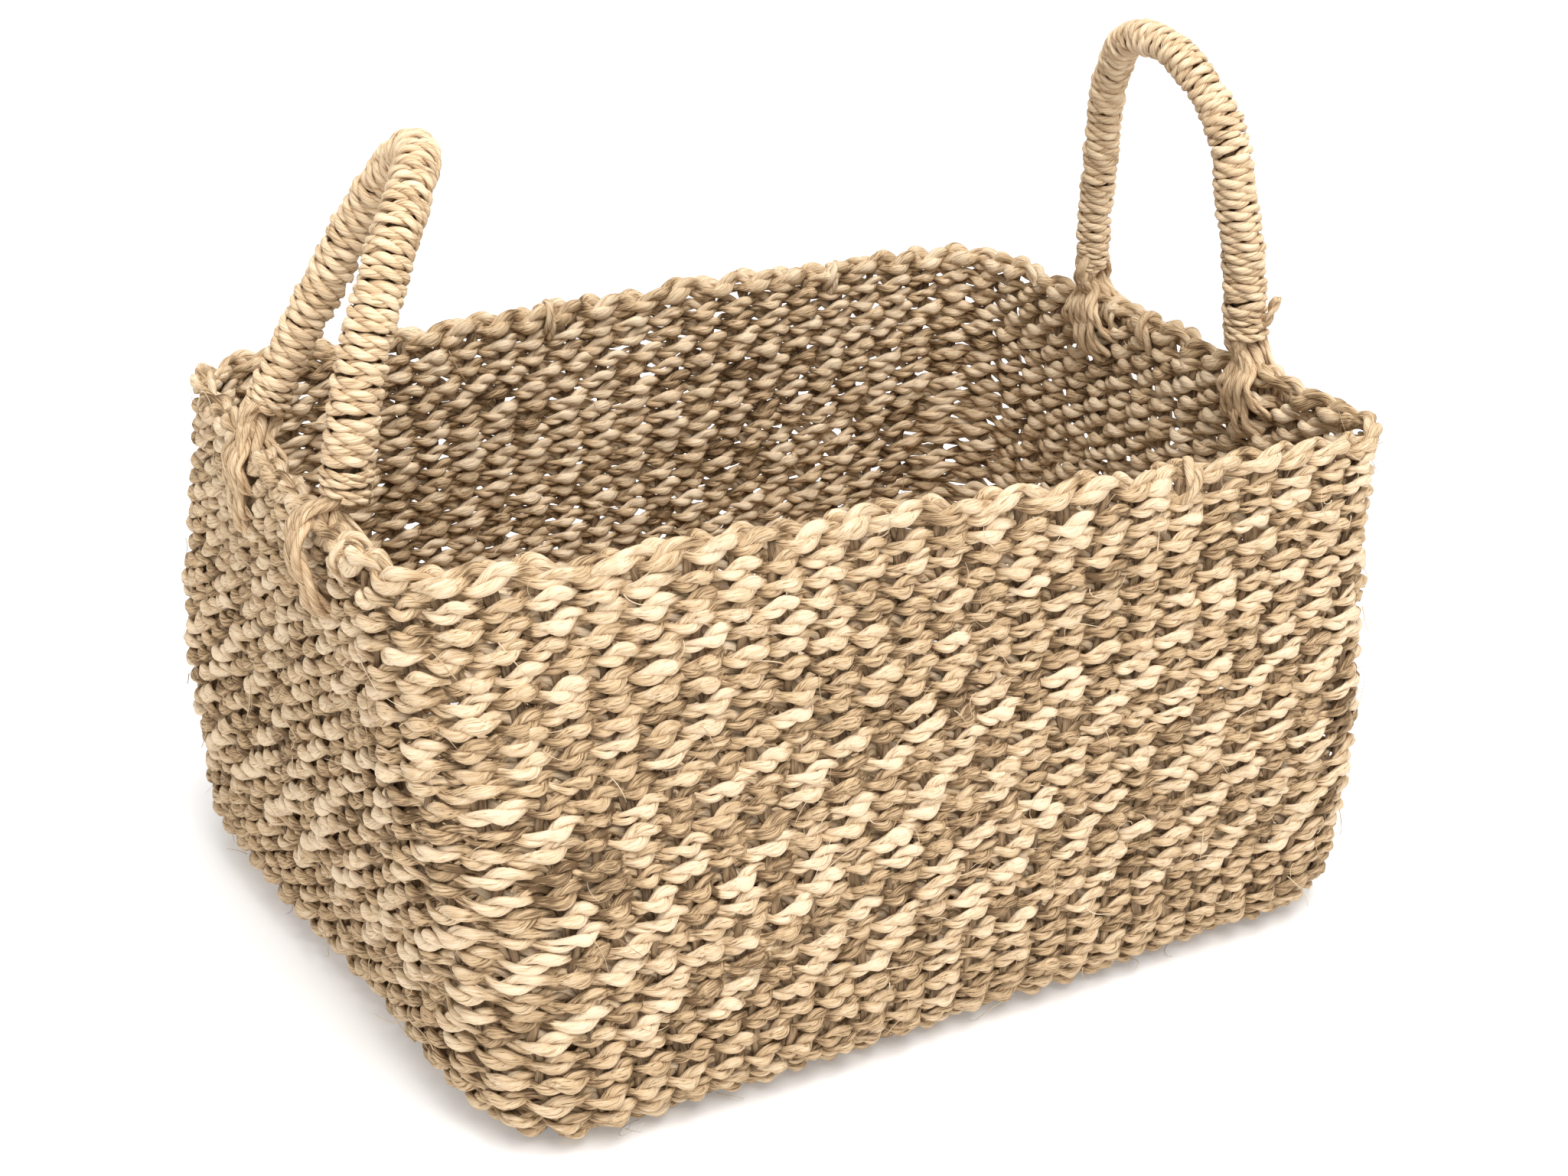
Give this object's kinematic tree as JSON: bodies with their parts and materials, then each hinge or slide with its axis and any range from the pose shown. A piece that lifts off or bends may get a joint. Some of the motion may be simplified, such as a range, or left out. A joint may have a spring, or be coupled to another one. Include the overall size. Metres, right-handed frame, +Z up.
{
  "type": "rectangular storage basket with two rope handles",
  "caption": "Open rectangular basket of twined seagrass cord over stakes, with a corded rim and a wrapped rope arch handle standing on each short end.",
  "frame": {"origin": "centre of the base, on the surface that the basket stands on", "axes": "+X along the long side towards the right handle, +Y towards the back long wall, +Z up"},
  "size_m": [0.406, 0.3238, 0.3342],
  "materials": {
    "weft_cream": "rough twisted seagrass cord, pale cream, with fibre lines and uneven tone",
    "weft_tan": "rough twisted seagrass cord, tan to light brown, with fibre lines and uneven tone",
    "stake": "dull twisted seagrass cord, mid brown, mostly hidden by the weave",
    "border_cord": "rough plaited seagrass, pale cream, slightly satin",
    "core_rope": "untwisted seagrass strands, tan, satin along the fibre",
    "handle_wrap_cord": "thin two-ply seagrass cord wound tightly, pinkish tan, matt"
  },
  "bodies": {
    "basket": {"weft_row_01": "weft_tan", "weft_row_02": "weft_cream", "weft_row_03": "weft_tan", "weft_row_04": "weft_cream", "weft_row_05": "weft_tan", "weft_row_06": "weft_cream", "weft_row_07": "weft_tan", "weft_row_08": "weft_cream", "weft_row_09": "weft_tan", "weft_row_10": "weft_cream", "weft_row_11": "weft_tan", "weft_row_12": "weft_cream", "weft_row_13": "weft_tan", "weft_row_14": "weft_cream", "weft_row_15": "weft_tan", "weft_row_16": "weft_cream", "weft_row_17": "weft_tan", "weft_row_18": "weft_cream", "weft_row_19": "weft_tan", "weft_row_20": "weft_cream", "weft_row_21": "weft_tan", "weft_row_22": "weft_cream", "weft_row_23": "weft_tan", "weft_row_24": "weft_cream", "weft_row_25": "weft_tan", "weft_row_26": "weft_cream", "weft_row_27": "weft_tan", "floor_weft_lower": "weft_tan", "floor_weft_upper": "weft_tan", "cross_stakes": "stake", "left_end_stakes": "stake", "right_end_stakes": "stake", "corner_stakes_group": "stake", "rim_border": "border_cord", "stake_end_tucks": "weft_tan", "left_front_anchor": "core_rope", "left_back_anchor": "core_rope", "right_front_anchor": "core_rope", "right_back_anchor": "core_rope"},
    "left_handle": {"left_handle_core": "core_rope", "left_handle_wrap": "handle_wrap_cord", "left_front_neck": "handle_wrap_cord", "left_back_neck": "handle_wrap_cord"},
    "right_handle": {"right_handle_core": "core_rope", "right_handle_wrap": "handle_wrap_cord", "right_front_neck": "handle_wrap_cord", "right_back_neck": "handle_wrap_cord", "right_wrap_tail": "handle_wrap_cord"}
  },
  "joints": [
    {"name": "left_handle_tilt", "type": "hinge", "parent": "basket", "child": "left_handle", "pos_m": [-0.19332, -0.022, 0.2171], "axis": [0, 1, 0], "range_deg": [-100, 50]},
    {"name": "right_handle_tilt", "type": "hinge", "parent": "basket", "child": "right_handle", "pos_m": [0.19332, 0, 0.2171], "axis": [0, -1, 0], "range_deg": [-84, 66]}
  ]
}
